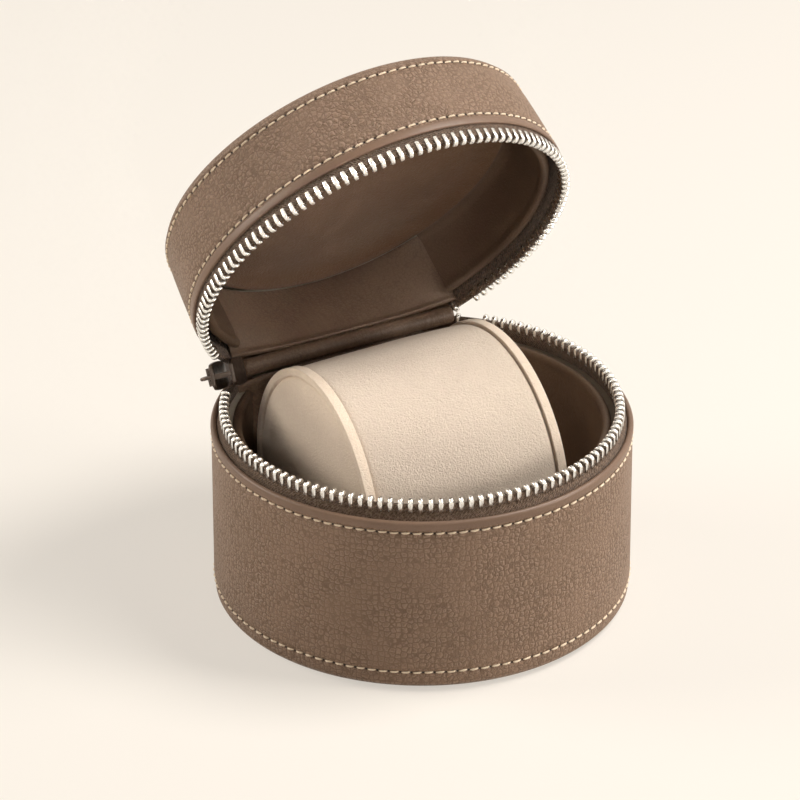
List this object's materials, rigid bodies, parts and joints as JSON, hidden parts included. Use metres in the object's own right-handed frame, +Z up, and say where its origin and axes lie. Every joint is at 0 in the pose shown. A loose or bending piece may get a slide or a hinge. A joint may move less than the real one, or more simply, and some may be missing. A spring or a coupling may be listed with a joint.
{
  "type": "watch travel case",
  "caption": "Round leather watch travel case with a hinged zip-around lid, contrast seams and a removable suede watch pillow.",
  "frame": {"origin": "centre of the underside, on the surface that the case stands on", "axes": "+Z up; the hinge lies along X at the back (+Y); the lid stands open at rest"},
  "size_m": [0.1086, 0.1226, 0.1438],
  "materials": {
    "pebbled_leather": "pebbled, taupe, satin",
    "board": "pressed grey board",
    "foam": "soft foam",
    "lining_leather": "smooth, dark brown",
    "hinge_leather": "smooth, brown",
    "brown_suede": "suede, brown",
    "thread": "waxed thread, cream",
    "zip_tape": "woven, dark brown",
    "zip_metal": "bright nickel",
    "slider_metal": "satin, dark brown",
    "cream_suede": "suede, cream",
    "cap_suede": "suede, cream"
  },
  "bodies": {
    "base": {"base_outer_leather": "pebbled_leather", "base_bottom_leather": "pebbled_leather", "base_wall_board": "board", "base_floor_board": "board", "base_wall_foam": "foam", "base_lining": "lining_leather", "base_lining_roll": "lining_leather", "base_floor_suede": "brown_suede", "base_rim_bead": "pebbled_leather", "base_rim_seam": "thread", "base_bottom_seam": "thread", "base_zip_tape": "zip_tape", "base_zip_teeth": "zip_metal", "base_zip_stops": "zip_metal", "base_hinge_collar": "hinge_leather", "base_hinge_panel": "hinge_leather"},
    "lid": {"lid_outer_leather": "pebbled_leather", "lid_top_leather": "pebbled_leather", "lid_wall_board": "board", "lid_top_board": "board", "lid_wall_foam": "foam", "lid_lining": "lining_leather", "lid_lining_roll": "lining_leather", "lid_suede_disc": "brown_suede", "lid_rim_bead": "pebbled_leather", "lid_rim_seam": "thread", "lid_top_seam": "thread", "lid_zip_tape": "zip_tape", "lid_zip_teeth": "zip_metal", "lid_zip_stops": "zip_metal", "lid_hinge_collar": "hinge_leather", "lid_hinge_panel": "hinge_leather"},
    "hinge_fold": {"hinge_fold": "hinge_leather"},
    "slider": {"slider_body": "slider_metal", "slider_bail": "slider_metal"},
    "pull": {"pull_link": "slider_metal", "pull_tab": "pebbled_leather"},
    "pillow": {"pillow_core": "foam", "pillow_wrap": "cream_suede", "pillow_left_end": "cap_suede", "pillow_right_end": "cap_suede"}
  },
  "joints": [
    {"name": "lid_hinge", "type": "hinge", "parent": "base", "child": "lid", "pos_m": [0, 0.0394, 0.0532], "axis": [-1, 0, 0], "range_deg": [-58, 6]},
    {"name": "fold_hinge", "type": "hinge", "parent": "base", "child": "hinge_fold", "pos_m": [0, 0.0394, 0.0532], "axis": [-1, 0, 0], "range_deg": [-29.5, 3.5]},
    {"name": "slider_travel", "type": "hinge", "parent": "hinge_fold", "child": "slider", "pos_m": [0, 0.00494, 0.0723], "axis": [0, 0.4848, 0.8746], "range_deg": [0, 266]},
    {"name": "pull_swing", "type": "hinge", "parent": "slider", "child": "pull", "pos_m": [-0.04121, 0.03855, 0.05367], "axis": [0, 0.4848, 0.8746], "range_deg": [0, 180]},
    {"name": "pillow_lift", "type": "slide", "parent": "base", "child": "pillow", "axis": [0, 0, 1], "range_m": [0, 0.007]}
  ],
  "couplings": [
    {"joint": "fold_hinge", "follows": "lid_hinge", "ratio": 0.5}
  ]
}
